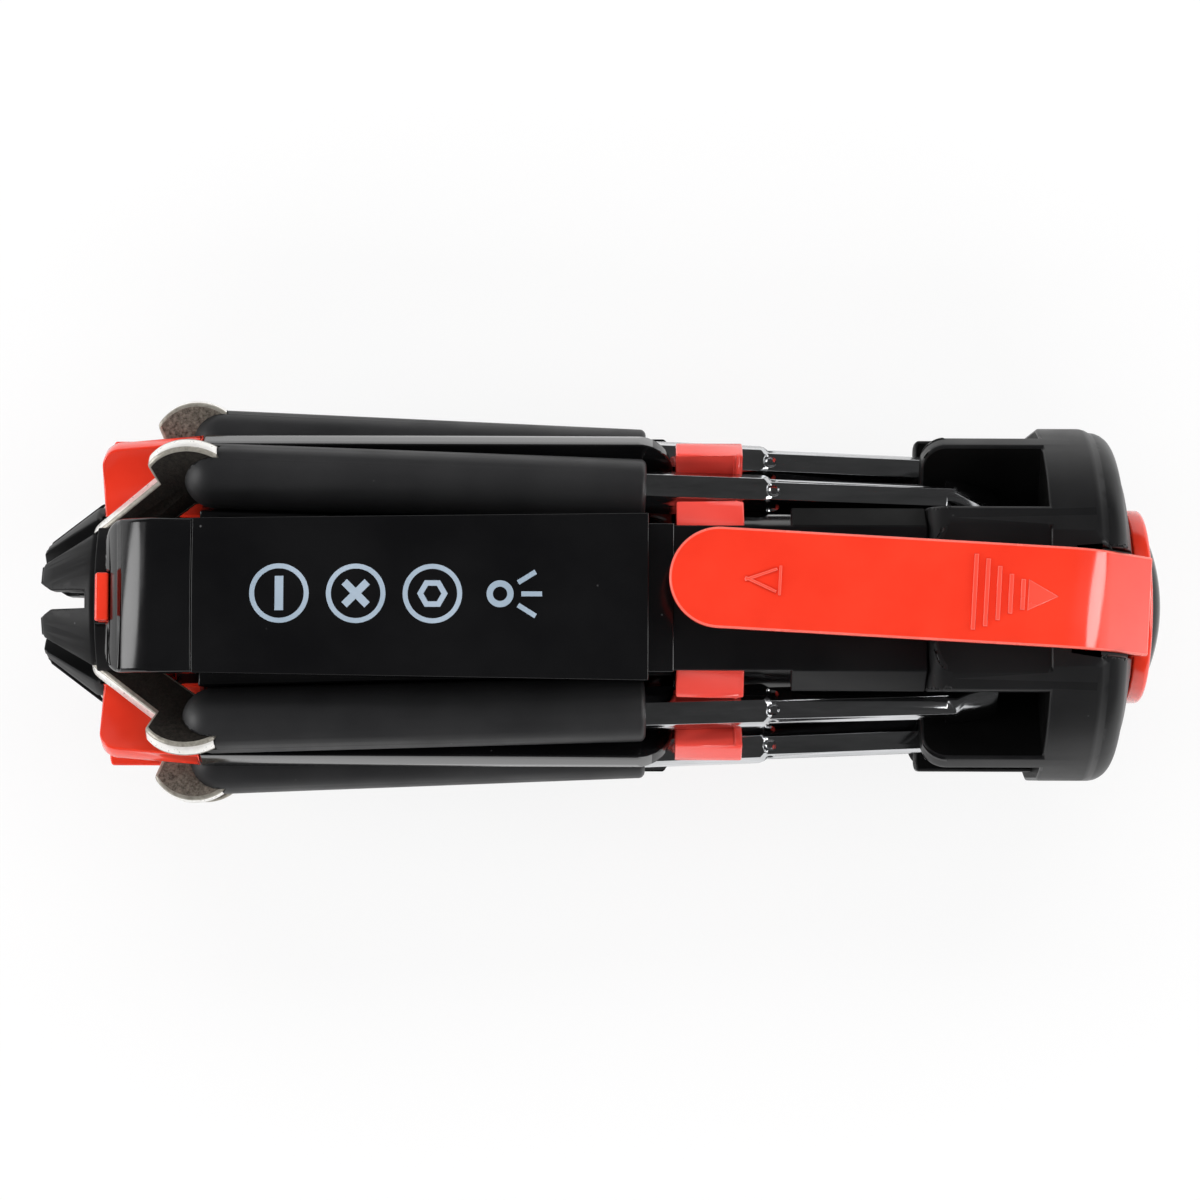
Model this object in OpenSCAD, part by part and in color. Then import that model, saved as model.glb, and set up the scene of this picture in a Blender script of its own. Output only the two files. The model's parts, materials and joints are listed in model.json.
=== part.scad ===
// Pocket tool with eight fold-out screwdrivers round a battery torch.
// The tool lies along X, nose to -X and lens to +X, with its front panel up.
// The origin is under the middle of the tool, on the surface that it rests on.

/* [Lengths along the tool] */
// Nose cone
nose_l = 7.4; // [7:0.1:8]
// Pivot hub
hub_l = 11.5; // [11:0.1:12.5]
// Strip between the handle and the head
bridge_l = 28.3; // [26:0.1:32]
// Head with the pockets for the tips
head_l = 24.2; // [23:0.1:28]
// Part of the head that has pockets
pocket_l = 13.6; // [12:0.1:15]
// Bezel that stands out of the head
bezel_l = 2.1; // [1.8:0.1:2.4]
// Dome of the lens past the bezel
dome_h = 2.3; // [2:0.1:2.6]

/* [Handle] */
// Radius over the ribs
rib_r = 21; // [20.6:0.1:22]
// Half the width over the flat sides of the handle
side_w = 19.4; // [19:0.1:20]
// Radius of the battery room
room_r = 11.6; // [11.5:0.05:11.8]
// Height of the panel faces over the ring of the head
face_rise = 1.2; // [1:0.1:1.6]
// Thickness of the panels
panel_t = 2.7; // [2:0.1:3]
// Half the width of a panel at the seam
panel_w1 = 8.6; // [8.4:0.1:9.2]
// Half the width of a panel at its far end
panel_w2 = 9.3; // [9:0.1:10]
// Gap at a seam between covers
seam = 0.1; // [0.05:0.05:0.2]

/* [Drivers] */
// Angle of the first driver from the front panel
first_a = 46.5; // [46:0.5:47]
// Angle between neighbouring drivers
pitch_a = 29; // [28.8:0.1:29.2]
// Angle at which a folded driver leans in towards the head
lean_a = 2.47; // [2.3:0.01:2.6]
// Distance of a pivot pin from the axis of the tool, and from its driver's axis
pivot_r = 9.8; // [9.6:0.1:10]
// Radius of a pivot pin
pin_r = 0.75; // [0.6:0.05:0.9]
// Thickness of a steel tang
tang_t = 2; // [1.8:0.1:2.1]
// Radius of a grip
grip_r = 3.7; // [3.5:0.05:3.75]
// Thick stretch of a shaft, across its flats
shaft_af = 4.5; // [4.2:0.1:4.6]
// Thin stretch of a shaft, across its flats
thin_af = 3.7; // [3.4:0.1:3.9]
// Depth of the tips in the head
tip_in = 8.6; // [7.5:0.1:9.4]

/* [Slider] */
// Outer radius of the sleeve
sleeve_r = 10.65; // [10.4:0.05:10.7]
// Wall of the sleeve
sleeve_wall = 1.4; // [1.2:0.1:1.6]
// Radius over the fins between the shafts
fin_r = 20.3; // [19.6:0.1:20.6]
// Half the width over the fins
fin_side_w = 18.1; // [17.8:0.1:18.6]
// Length of the fins
fin_l = 7.6; // [6:0.1:8]
// Width of the pocket clip
clip_w = 11.2; // [10:0.1:11.8]
// Thickness of the pocket clip
clip_t = 1.8; // [1.5:0.1:2.2]
// Angle of the clip to the tool
clip_a = 3.1; // [0:0.1:4]

/* [Head] */
// Radius over the corners of the head
head_fin_r = 21; // [20.8:0.1:21.4]
// Half the height of the ring of the head
head_r = 19.6; // [19.4:0.1:20]
// Half the width of the ring of the head
head_w = 20.3; // [20.1:0.1:20.6]
// Half the width over the fins of the head
head_fin_w = 19.3; // [19:0.1:19.8]
// Half the height of the front and rear walls of the head
head_face_h = 19.3; // [19:0.1:19.8]
// Thickness of a fin of the head
head_fin_t = 2.4; // [1.8:0.1:2.6]
// Half the width of the front and rear walls of the head
head_wall_w = 10.35; // [10:0.05:10.6]

/* [Torch] */
// Radius of a battery cell
cell_r = 5.25; // [5:0.05:5.25]
// Length of a battery cell with its nub
cell_l = 44.5; // [44:0.1:44.5]
// Wall of the torch barrel
barrel_wall = 1; // [0.8:0.1:1.2]
// Radius of a light emitting diode
led_r = 2.5; // [1.5:0.1:2.5]
// Travel of the lens when it is pressed
press_l = 1; // [0.5:0.1:1.2]

/* [Hidden] */
$fn = 48;
over = 1;
fit = 0.05;

// Walls, contacts and springs in line with the cells, which set the length of the handle
nose_wall = 1.6;
head_wall = 3.6;
plate_t = 0.8;
flange_t = 1;
spring_l = 1.3;
handle_l = nose_wall + plate_t + spring_l + cell_l + plate_t + flange_t + head_wall;
face_h = head_r + face_rise;

// Stations along X
total_l = nose_l + hub_l + seam + handle_l + bridge_l + head_l + bezel_l + dome_h;
nose_x = -total_l / 2;
hub_x = nose_x + nose_l;
hub_end = hub_x + hub_l;
handle_x = hub_end + seam;
handle_end = handle_x + handle_l;
head_x = handle_end + bridge_l;
ring_x = head_x + pocket_l;
head_end = head_x + head_l;
bezel_end = head_end + bezel_l;
lens_end = bezel_end + dome_h;
axis_z = face_h;

// Angles of the drivers and of the ribs between them, from the front panel
side_a = [for (i = [0 : 3]) first_a + i * pitch_a];
driver_a = concat(side_a, [for (i = [3 : -1 : 0]) -side_a[i]]);
rib_a = [for (i = [0 : 2]) first_a + (i + 0.5) * pitch_a];
all_rib_a = concat(rib_a, [for (a = rib_a) -a]);

// Pivot, and the foot of its perpendicular on the axis of a folded driver
pivot_back = 1.1;
pivot_x = hub_x + pivot_back;
foot_x = pivot_x + pivot_r * sin(lean_a);

// Stations along a folded driver, from that foot
function along_driver(x) = (x - foot_x) / cos(lean_a);
root_out = 1.8;
grip_short = 3.2;
crimp_out = 11.3;
grip_u = along_driver(handle_x - root_out);
grip_end_u = along_driver(handle_end - grip_short);
crimp_u = along_driver(handle_end + crimp_out);
tip_u = along_driver(head_x + tip_in);
grip_edge = 0.3;

// Tang, in the plane of its driver
boss_r = 2.4;
leg_a = 46.8;
leg_l = 10.3;
hump_r = 5.4;
hump_u = 9.02;
hump_v = -0.8;
notch_a = 114;
notch_l = 5;
knee_u = 9.7;
knee_v = -3.6;
tail_l = 6.7;
tail_top = 2.4;
tail_low = 2.7;
tail_gap = 1.5;
tail_u = grip_u + tail_l;
shaft_u = tail_u + tail_gap;
pivot_p = [0, -pivot_r];
leg_foot = polar(pivot_p, boss_r, leg_a + 90);
leg_under = polar(pivot_p, boss_r, leg_a - 90);
notch_p = polar(leg_foot, leg_l, leg_a);
hump_p = [hump_u, hump_v];

// Slot of a tang in the hub and nose, and its floor
slot_gap = 0.4;
slot_side = 0.15;
slot_w = tang_t + 2 * slot_side;
slot_rise_a = 38;
floor_p = polar([pivot_x, pivot_r], boss_r + slot_gap, leg_a - 90);
floor_x = floor_p[0] - floor_p[1] / tan(leg_a);

// Shaft
crimp_dent_r = 0.85;
crimp_dent_share = 0.6;
crimp_cone = 0.6;
blade_l = 5;
blade_flare = 1.6;
blade_w = 4.6;
blade_t = 0.8;
tip_kinds = ["slotted", "cross", "slotted", "cross", "cross", "slotted", "cross", "slotted"];
cross_l = 3.6;
cross_r = 0.6;
flute_w = 1.5;

// Nose
nose_r = 11.6;
nose_band = 1;
nose_tip_r = 7.1;
nose_round = 0.4;
nose_round_share = 1.9;
nose_hole_r = 4.5;
nose_hole_l = 2.8;
notch_w = 1.05;
notch_flare = 0.9;
notch_flare_l = 1.4;
notch_in = 5.7;
nose_collar_back = 0.2;
nose_collar_l = hub_l - nose_collar_back;
nose_collar_t = 0.5;
nose_collar_front = 0.4;
nose_collar_w = 9.5;
screw_r = 1.2;
screw_head_r = 2.1;
screw_head_h = 1.3;
screw_head_gap = 0.35;
screw_seat_x = hub_x - screw_head_gap;

// Hub
hub_ring_r = 12;
hub_fin_t = 2.2;
hub_fin_drop = 0.9;
hub_fin_round = 2.3;
hub_side_w = 18.9;
key_w = 2.7;
key_lip = 1.5;
key_lip_in = 0.3;
key_lip_l = 1.45;
pin_l = 4.2;
spigot_r = 6;
spigot_l = 5;

// End caps
cap_front = 1.3;
cap_seat = 14.6;
cap_round = 2.3;
cap_side_r = 10;
cap_flat = 1.2;
cap_w = panel_w1;
crown_r = 60;

// Handle shells
panel_seat = face_h - panel_t;
groove_gap = 0.25;
groove_r = grip_r + groove_gap;
block_w = 8.3;
shelf_z = 13.2;
rib_round = 4;
panel_short = 2.9;
panel_end = handle_end - panel_short;
strip_w = 8.1;
strip_t = 1.7;
strip_drop = 0.1;
strip_top = panel_seat - strip_drop;
web_w = 4.4;
web_low = 11;
skirt_w = 10.3;
skirt_low = 13.7;
skirt_h = 1.2;
tenon_l = 10.6;
tenon_top = 17;
tenon_end = head_x + tenon_l;

// Battery room
flange_r = 11.2;
room_x = handle_x + nose_wall;
room_end = handle_end - head_wall;
cell_end = room_end - flange_t - plate_t;
cell_x = cell_end - cell_l;
plate_gap = 0.15;
plate_r = room_r - plate_gap;
window_w = 6.2;
cell_gap = 0.1;
cell_ring = (2 * cell_r + cell_gap) / sqrt(3);
cell_a = [180, 60, -60];
nub_r = 1.9;
nub_l = 0.8;
spring_r = 3;
spring_wire = 0.6;

// Screws that hold the shells and the head
small_screw_r = 0.9;
small_head_r = 1.4;
small_head_h = 1.4;
shell_screw_y = 11.1;
shell_screw_low = -3.9;
shell_screw_top = 3;
shell_screw_x = handle_end - head_wall / 2;
head_screw_in = 5.8;
head_screw_x = head_x + head_screw_in;
head_screw_low = 12.5;
head_screw_sink = 0.5;

// Door
door_lug_t = 0.9;
door_lug_side = 0.3;
door_lug_back = 0.6;
door_lug_front = 0.4;
door_lug_w = window_w - door_lug_side;
door_lug_x = room_x + door_lug_back;
door_travel = 8;
door_lug_l = cell_end - door_lug_x - door_travel - door_lug_front;
ridge_n = 5;
ridge_step = 1.6;
ridge_w = 0.7;
ridge_d = 0.4;
ridge_l = 11;
ridge_in = 4;

// Head
head_core_r = 12.4;
head_bore_r = sleeve_r + fit;
head_side = 2.9;
head_front_round = 2.9;
shoulder_l = 4.1;
shoulder_lead = 1.3;
shoulder_round = 2.4;
shoulder_r = 15.9;
shoulder_share = [1 / 3, 0.72, 0.255];

// Slider
fin_back = 0.3;
fin_start = handle_end + fin_back;
fin_end = fin_start + fin_l;
slide_l = 5;
skirt_start = fin_end + slide_l + fin_back;
collar_r = 13.2;
fin_side = 2.7;
nib_side = 2.45;
nib_t = 0.35;
nib_in = 0.7;
nib_low = 17;
front_fin_r = 18.1;
front_fin_low = 12;
fin_drop = 0.2;
fin_top = strip_top - strip_t - fin_drop;
web_gap = 0.5;
bezel_round = 0.6;
bezel_seat_l = 2.6;
bezel_rim = 0.6;
bezel_rim_x = head_end + seam;
bezel_x = head_end - bezel_seat_l;
sleeve_in_r = sleeve_r - sleeve_wall;
ring_seat_r = sleeve_r - sleeve_wall / 2;

// Clip
clip_over = 0.85;
clip_room = 0.35;
clip_under = head_r + clip_over;
clip_top = clip_under + clip_t;
clip_bend_r = 7;
clip_leg_in = 0.3;
clip_leg_x = head_end - clip_leg_in;
clip_bend_x = ring_x;
clip_bend_z = clip_under - clip_bend_r;
clip_fall_a = 50;
clip_back = 0.7;
clip_start = handle_end - clip_back;
clip_side = 0.4;
clip_pivot_in = 14.6;
clip_pivot_x = head_x + clip_pivot_in;
mark_h = 0.25;
bar_t = 0.5;
bar_step = 1.33;
bar_in = 4.5;
bar_x = head_x + bar_in;
bar_half = [4.2, 3.75, 3, 2.2, 1.7];
arrow_l = 3.4;
arrow_half = 1.75;
arrow_h = 0.1;
triangle_in = 8.3;
triangle_x = clip_start + triangle_in;
triangle_l = 4.1;
triangle_half = 1.65;
triangle_t = 0.32;

// Torch
barrel_r = sleeve_in_r - fit;
barrel_in_r = barrel_r - barrel_wall;
barrel_out = 0.4;
barrel_end = head_end + barrel_out;
lens_side = 0.1;
lens_rest = 0.4;
lens_edge_out = 0.2;
lens_flange_r = sleeve_in_r - lens_side;
lens_flange_x = barrel_end + press_l + lens_rest;
lens_edge_x = bezel_end + lens_edge_out;
lens_skirt_t = 0.8;
board_in = 2;
board_x = ring_x + board_in;
board_t = 1.2;
board_end = board_x + board_t;
holder_out = 1.8;
holder_x = board_end + holder_out;
holder_t = 2;
holder_end = holder_x + holder_t;
led_ring_r = 5.3;
led_h = 4.6;
led_n = 6;
switch_w = 3.2;
switch_h = 1.6;
stem_r = 0.9;
stem_x = board_end + switch_h + press_l + fit;
wave_t = 0.45;
skirt_x = holder_end + wave_t + press_l + fit;
wire_r = 0.4;
wire_y = 3;
wire_z = 6;

fixed_nodes = ["front_shell", "rear_shell", "front_panel", "front_end_cap", "rear_end_cap",
    "battery_door", "pivot_hub", "pivot_pins", "nose_cone", "nose_screw", "head_crown",
    "shell_screws", "head_screws", "torch_barrel", "light_board", "light_switch", "leds",
    "led_holder", "lens_spring", "push_lens", "nose_contact", "head_contact",
    "contact_springs", "wires", "battery_1", "battery_2", "battery_3",
    "slider_sleeve", "slider_ring", "lens_bezel", "pocket_clip"];

function polar(p, r, a) = [p[0] + r * cos(a), p[1] + r * sin(a)];

// Lifts what is drawn round the tool's own axis to its place over the ground
module lifted() {
    translate([0, 0, axis_z]) children();
}

// Turns a profile of radius against X about the axis of the tool
module turned() {
    rotate([0, 90, 0]) rotate_extrude() children();
}

// Draws a section across the tool, Y against Z, and pulls it along X
module drawn(x, l) {
    translate([x, 0, 0]) rotate([90, 0, 90]) linear_extrude(l) children();
}

// Stands a side view, X against Z, up as a plate of thickness t
module plate(t) {
    rotate([90, 0, 0]) linear_extrude(t, center = true) children();
}

module tube_x(x, l, r_out, r_in = 0) {
    translate([x, 0, 0]) rotate([0, 90, 0]) difference() {
        cylinder(r = r_out, h = l);
        if (r_in > 0) translate([0, 0, -over]) cylinder(r = r_in, h = l + 2 * over);
    }
}

module at_angle(a) {
    rotate([-a, 0, 0]) children();
}

// Puts a driver, drawn along +X with its pivot below it, in its folded place
module folded(i) {
    at_angle(driver_a[i]) translate([pivot_x, 0, pivot_r]) rotate([0, lean_a, 0])
        translate([0, 0, pivot_r]) children();
}

// Rectangle whose far outer corner, at [w, l], is rounded
module rounded_corner(w, l, r) {
    intersection() {
        square([w, l]);
        union() {
            square([w - r, l]);
            square([w, l - r]);
            translate([w - r, l - r]) circle(r);
        }
    }
}

// Channel that leaves room for each driver's grip in the handle
module grip_channel(i) {
    folded(i) translate([grip_u - over, 0, 0]) rotate([90, 0, 90])
        linear_extrude(handle_l + 2 * hub_l) union() {
            circle(groove_r);
            translate([-groove_r, 0]) square([2 * groove_r, rib_r]);
        }
}

// Half of the handle, with its ribs, its strip and its spigot, on the +Z side
module half_shell(drivers, window) {
    difference() {
        union() {
            difference() {
                union() {
                    intersection() {
                        translate([handle_x, 0, 0]) turned()
                            rounded_corner(rib_r, handle_l, rib_round);
                        translate([handle_x - over, -side_w, -rib_r])
                            cube([handle_l + 2 * over, 2 * side_w, 2 * rib_r]);
                    }
                    translate([handle_x, -block_w, shelf_z])
                        cube([handle_l, 2 * block_w, panel_seat - shelf_z]);
                }
                for (i = drivers) grip_channel(i);
                translate([handle_x - over, -rib_r, panel_seat])
                    cube([handle_l + 2 * over, 2 * rib_r, rib_r]);
                for (m = [0, 1]) mirror([0, m, 0])
                    translate([handle_x - over, block_w, shelf_z])
                        cube([handle_l + 2 * over, rib_r, rib_r]);
            }
            translate([panel_end, -strip_w, strip_top - strip_t])
                cube([head_x - panel_end, 2 * strip_w, strip_t]);
            translate([panel_end, -web_w, web_low])
                cube([head_x - panel_end, 2 * web_w, strip_top - web_low]);
            drawn(skirt_start, head_x - skirt_start) polygon([[-skirt_w, skirt_low],
                [skirt_w, skirt_low], [skirt_w, skirt_low + skirt_h], [strip_w, strip_top],
                [-strip_w, strip_top], [-skirt_w, skirt_low + skirt_h]]);
            translate([panel_end, -web_w, web_low])
                cube([tenon_end - panel_end, 2 * web_w, tenon_top - web_low]);
            tube_x(handle_x - spigot_l, spigot_l + over, spigot_r);
        }
        translate([nose_x, -2 * rib_r, -2 * rib_r]) cube([total_l, 4 * rib_r, 2 * rib_r]);
        tube_x(room_x, room_end - room_x, room_r);
        tube_x(room_end - over, head_wall + 2 * over, barrel_r + fit);
        tube_x(handle_x - spigot_l - over, spigot_l + nose_wall + 2 * over, screw_r + fit);
        for (m = [0, 1]) mirror([0, m, 0])
            translate([shell_screw_x, shell_screw_y, 0])
                cylinder(r = small_screw_r + fit, h = 2 * (shell_screw_top + fit), center = true);
        translate([head_screw_x, 0, head_screw_low - fit]) cylinder(r = small_screw_r + fit, h = rib_r);
        if (window) {
            translate([room_x, -window_w, 0]) cube([cell_end - room_x, 2 * window_w, rib_r]);
            for (m = [0, 1]) mirror([0, m, 0])
                translate([shell_screw_x, shell_screw_y, -shell_screw_low - small_head_h])
                    cylinder(r = small_head_r + fit, h = rib_r);
        }
    }
}

module front_shell() {
    color("#1b1b1d") lifted() half_shell([0, 1, 6, 7], false);
}

module rear_shell() {
    color("#1b1b1d") lifted() mirror([0, 0, 1]) half_shell([0, 1, 6, 7], true);
}

// Outline of a panel seen from above, wider at its far end
module panel_plan() {
    polygon([[handle_x, -panel_w1], [panel_end, -panel_w2], [panel_end, panel_w2],
        [handle_x, panel_w1]]);
}

module crown_section(low) {
    intersection() {
        translate([-rib_r, low]) square([2 * rib_r, face_h - low]);
        translate([0, face_h - crown_r]) circle(crown_r, $fn = 180);
    }
}

module front_panel() {
    color("#202022") lifted() intersection() {
        drawn(handle_x, panel_end - handle_x) crown_section(panel_seat);
        translate([0, 0, panel_seat]) linear_extrude(rib_r) panel_plan();
    }
}

// Cap over the hub, that dips towards the nose and has a notch for the hub's key
module end_cap(section_r) {
    front = hub_x + cap_front;
    difference() {
        cap_body(front, section_r);
        translate([hub_x, -key_w - fit, 0])
            cube([key_lip_in + key_lip_l + fit, 2 * (key_w + fit), rib_r]);
    }
}

module cap_body(front, section_r) {
    intersection() {
        drawn(front, hub_end - front) intersection() {
            translate([-cap_w, cap_seat]) square([2 * cap_w, face_h - cap_seat]);
            translate([0, face_h - section_r]) circle(section_r, $fn = 180);
        }
        translate([front, 0, cap_seat]) linear_extrude(rib_r) union() {
            polygon([[cap_round, -cap_w], [hub_end - front, -cap_w], [hub_end - front, cap_w],
                [cap_round, cap_w], [0, cap_w - cap_round], [0, cap_round - cap_w]]);
            for (m = [-1, 1]) translate([cap_round, m * (cap_w - cap_round)]) circle(cap_round);
        }
        plate(2 * rib_r) union() {
            translate([hub_end - cap_flat, face_h - cap_side_r]) circle(cap_side_r, $fn = 90);
            translate([hub_end - cap_flat, cap_seat]) square([cap_flat, face_h - cap_seat]);
        }
    }
}

module front_end_cap() {
    color("#202022") lifted() end_cap(crown_r);
}

module rear_end_cap() {
    color("#202022") lifted() mirror([0, 0, 1]) end_cap(crown_r);
}

// Battery door: flat outside, with a lug in the window and ridges for the thumb
module battery_door() {
    color("#202022") lifted() mirror([0, 0, 1]) difference() {
        union() {
            translate([0, 0, panel_seat]) linear_extrude(panel_t) panel_plan();
            translate([door_lug_x, -door_lug_w, panel_seat - door_lug_t])
                cube([door_lug_l, 2 * door_lug_w, door_lug_t + over]);
        }
        for (i = [0 : ridge_n - 1])
            translate([handle_x + ridge_in + i * ridge_step, -ridge_l / 2, face_h - ridge_d])
                cube([ridge_w, ridge_l, over]);
    }
}

// Side view of the room that a tang needs in the hub and nose
module tang_slot() {
    far = hub_end + over;
    plate(slot_w) polygon([[floor_x, 0], floor_p,
        [far, floor_p[1] + (far - floor_p[0]) * tan(slot_rise_a)], [far, rib_r + over],
        [nose_x - over, rib_r + over], [nose_x - over, 0]]);
}

module hub_fin() {
    top = rib_r - hub_fin_drop;
    plate(hub_fin_t) union() {
        polygon([[hub_x, spigot_r + over], [hub_end, spigot_r + over], [hub_end, rib_r],
            [hub_x + hub_fin_round, top], [hub_x, top - hub_fin_round]]);
        translate([hub_x + hub_fin_round, top - hub_fin_round]) circle(hub_fin_round);
    }
}

module pivot_hub() {
    color("#e03a2c") lifted() difference() {
        union() {
            tube_x(hub_x, hub_l, hub_ring_r);
            intersection() {
                for (a = all_rib_a) at_angle(a) hub_fin();
                translate([hub_x, -hub_side_w, -rib_r]) cube([hub_l, 2 * hub_side_w, 2 * rib_r]);
            }
            for (a = [0, 180]) at_angle(a) {
                translate([hub_x, -key_w, 0]) cube([hub_l, 2 * key_w, cap_seat]);
                translate([hub_x + key_lip_in, -key_w, 0])
                    cube([key_lip_l, 2 * key_w, cap_seat + key_lip]);
            }
        }
        for (a = driver_a) at_angle(a) {
            tang_slot();
            translate([pivot_x, 0, pivot_r]) rotate([90, 0, 0])
                cylinder(r = pin_r, h = pin_l, center = true);
        }
        tube_x(hub_end - spigot_l - fit, hub_l, spigot_r + fit);
        tube_x(hub_x - over, hub_l, screw_r + fit);
    }
}

module pivot_pins() {
    color("#b9bbbe") lifted() for (a = driver_a) at_angle(a)
        translate([pivot_x, 0, pivot_r]) rotate([90, 0, 0])
            cylinder(r = pin_r, h = pin_l, center = true);
}

// Half of the collar that the nose lays over the hub, beside its key and under the end cap
module nose_collar() {
    inner = hub_ring_r + fit;
    difference() {
        translate([hub_x - nose_collar_front, -nose_collar_w, 0])
            cube([nose_collar_l + nose_collar_front, 2 * nose_collar_w, cap_seat]);
        tube_x(hub_x - fit, nose_collar_l + over, inner);
        translate([hub_x - fit, -key_w - fit, 0])
            cube([nose_collar_l + over, 2 * (key_w + fit), rib_r]);
    }
}

module nose_cone() {
    color("#1b1b1d") lifted() difference() {
        union() {
            translate([nose_x, 0, 0]) turned() difference() {
                union() {
                    polygon([[0, 0], [nose_tip_r - 2 * nose_round, 0],
                        [nose_tip_r, nose_round], [nose_r, nose_l - nose_band],
                        [nose_r, nose_l], [0, nose_l]]);
                    translate([nose_tip_r - nose_round_share * nose_round, nose_round])
                        circle(nose_round);
                }
                square([nose_hole_r, nose_hole_l]);
            }
            intersection() {
                for (m = [0, 1]) mirror([0, 0, m]) nose_collar();
                tube_x(hub_x - nose_band, nose_collar_l + nose_band, hub_ring_r + nose_collar_t);
            }
        }
        for (a = driver_a) at_angle(a) tang_slot();
        translate([0, 0, -rib_r]) linear_extrude(2 * rib_r) polygon([
            [nose_x - over, -notch_w - notch_flare], [nose_x, -notch_w - notch_flare],
            [nose_x + notch_flare_l, -notch_w], [nose_x + notch_in, -notch_w],
            [nose_x + notch_in, notch_w], [nose_x + notch_flare_l, notch_w],
            [nose_x, notch_w + notch_flare], [nose_x - over, notch_w + notch_flare]]);
        tube_x(nose_x, nose_l + over, screw_r + fit);
        tube_x(nose_x, screw_seat_x - nose_x, screw_head_r + fit);
    }
}

// Screw along X, with its head towards the nose
module nose_screw() {
    recess = [screw_head_r, screw_head_h / 3];
    color("#a8aaad") lifted() difference() {
        union() {
            tube_x(screw_seat_x - screw_head_h, screw_head_h, screw_head_r);
            tube_x(screw_seat_x - fit, handle_x - screw_seat_x, screw_r);
        }
        for (a = [0, 90]) rotate([a, 0, 0])
            translate([screw_seat_x - screw_head_h - over, -recess[1] / 2, -recess[0] / 2])
                cube([over + screw_head_h / 2, recess[1], recess[0]]);
    }
}

// Screw along Z, with its head down
module small_screw(l) {
    slot = small_head_r / 3;
    difference() {
        union() {
            cylinder(r = small_head_r, h = small_head_h);
            cylinder(r = small_screw_r, h = l);
        }
        for (a = [0, 90]) rotate(a) translate([-small_head_r / 2, -slot / 2, -over])
            cube([small_head_r, slot, over + small_head_h / 2]);
    }
}

module shell_screws() {
    color("#a8aaad") lifted() for (m = [0, 1]) mirror([0, m, 0])
        translate([shell_screw_x, shell_screw_y, shell_screw_low])
            small_screw(shell_screw_top - shell_screw_low);
}

module head_screws() {
    top = head_face_h - head_screw_sink;
    color("#a8aaad") lifted() for (m = [0, 1]) mirror([0, 0, m])
        translate([head_screw_x, 0, top]) mirror([0, 0, 1]) small_screw(top - head_screw_low);
}

// Section of the part of the head that has pockets
module pocket_section() {
    side_s = (head_wall_w + head_side * cos(first_a)) / sin(first_a);
    low_s = sqrt(head_core_r * head_core_r - head_side * head_side);
    function wall_point(s) = [s * sin(first_a) - head_side * cos(first_a),
        s * cos(first_a) + head_side * sin(first_a)];
    circle(head_core_r);
    for (a = all_rib_a) rotate(-a) translate([-head_fin_t / 2, 0]) square([head_fin_t, rib_r]);
    for (m = [0, 1], n = [0, 1]) mirror([0, m]) mirror([n, 0])
        polygon([[0, 0], wall_point(low_s), wall_point(side_s), [head_wall_w, rib_r], [0, rib_r]]);
}

module head_crown() {
    color("#1b1b1d") lifted() difference() {
        union() {
            intersection() {
                drawn(head_x, pocket_l + over) pocket_section();
                translate([head_x, 0, 0]) turned() mirror([0, 1]) translate([0, -head_l])
                    rounded_corner(head_fin_r, head_l, head_front_round);
                translate([head_x, -head_fin_w, -head_face_h])
                    cube([head_l, 2 * head_fin_w, 2 * head_face_h]);
            }
            intersection() {
                translate([ring_x, 0, 0]) turned() ring_profile();
                translate([head_x, -head_w, -head_r]) cube([head_l, 2 * head_w, 2 * head_r]);
            }
        }
        clip_channel();
        tube_x(head_x - over, head_l + 2 * over, head_bore_r);
        for (m = [0, 1]) mirror([0, 0, m]) {
            translate([head_x - over, -web_w, 0]) cube([tenon_l + over, 2 * web_w, tenon_top]);
            translate([head_screw_x, 0, 0]) cylinder(r = small_screw_r + fit, h = rib_r);
            translate([head_screw_x, 0, head_face_h - head_screw_sink - small_head_h])
                cylinder(r = small_head_r + fit, h = rib_r);
        }
    }
}

// Profile of the ring of the head, radius against X from the start of the ring
module ring_profile() {
    ring_l = head_l - pocket_l;
    corner = ring_l - shoulder_l;
    union() {
        polygon([[0, 0], [head_fin_r, 0], [head_fin_r, corner - shoulder_lead], [head_w, corner],
            [head_w - shoulder_share[0] * shoulder_round,
                corner + shoulder_share[1] * shoulder_round],
            [shoulder_r, ring_l - shoulder_share[2] * shoulder_l], [head_bore_r + fit, ring_l],
            [0, ring_l]]);
        translate([head_w - shoulder_round, corner]) circle(shoulder_round);
    }
}

// Section of the fins of the slider, with side as half the room of a shaft
module fin_section(side, low) {
    difference() {
        intersection() {
            circle(fin_r);
            square(2 * [fin_side_w, fin_r], center = true);
        }
        for (a = driver_a) rotate(-a) translate([-side, low]) square([2 * side, fin_r]);
        for (m = [0, 1]) mirror([0, m]) {
            translate([-web_w - web_gap, sleeve_r - fit]) square([2 * (web_w + web_gap), fin_r]);
            translate([-fin_r, fin_top]) square([2 * fin_r, fin_r]);
            difference() {
                translate([-fin_r, front_fin_low]) square([2 * fin_r, fin_r]);
                circle(front_fin_r);
            }
        }
    }
}

module slider_sleeve() {
    color("#1b1b1d") lifted() {
        tube_x(fin_start, fin_l + over, ring_seat_r, sleeve_in_r);
        tube_x(fin_end, bezel_x - fin_end, sleeve_r, sleeve_in_r);
    }
}

// Ring on the end of the sleeve, with the fins that stand between the shafts
module slider_ring() {
    color("#e8402f") lifted() difference() {
        union() {
            drawn(fin_start, fin_l) fin_section(fin_side, collar_r);
            drawn(fin_end - nib_in - nib_t, nib_t) difference() {
                fin_section(nib_side, collar_r);
                circle(nib_low);
            }
        }
        tube_x(fin_start - over, total_l, ring_seat_r + fit);
    }
}

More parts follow.
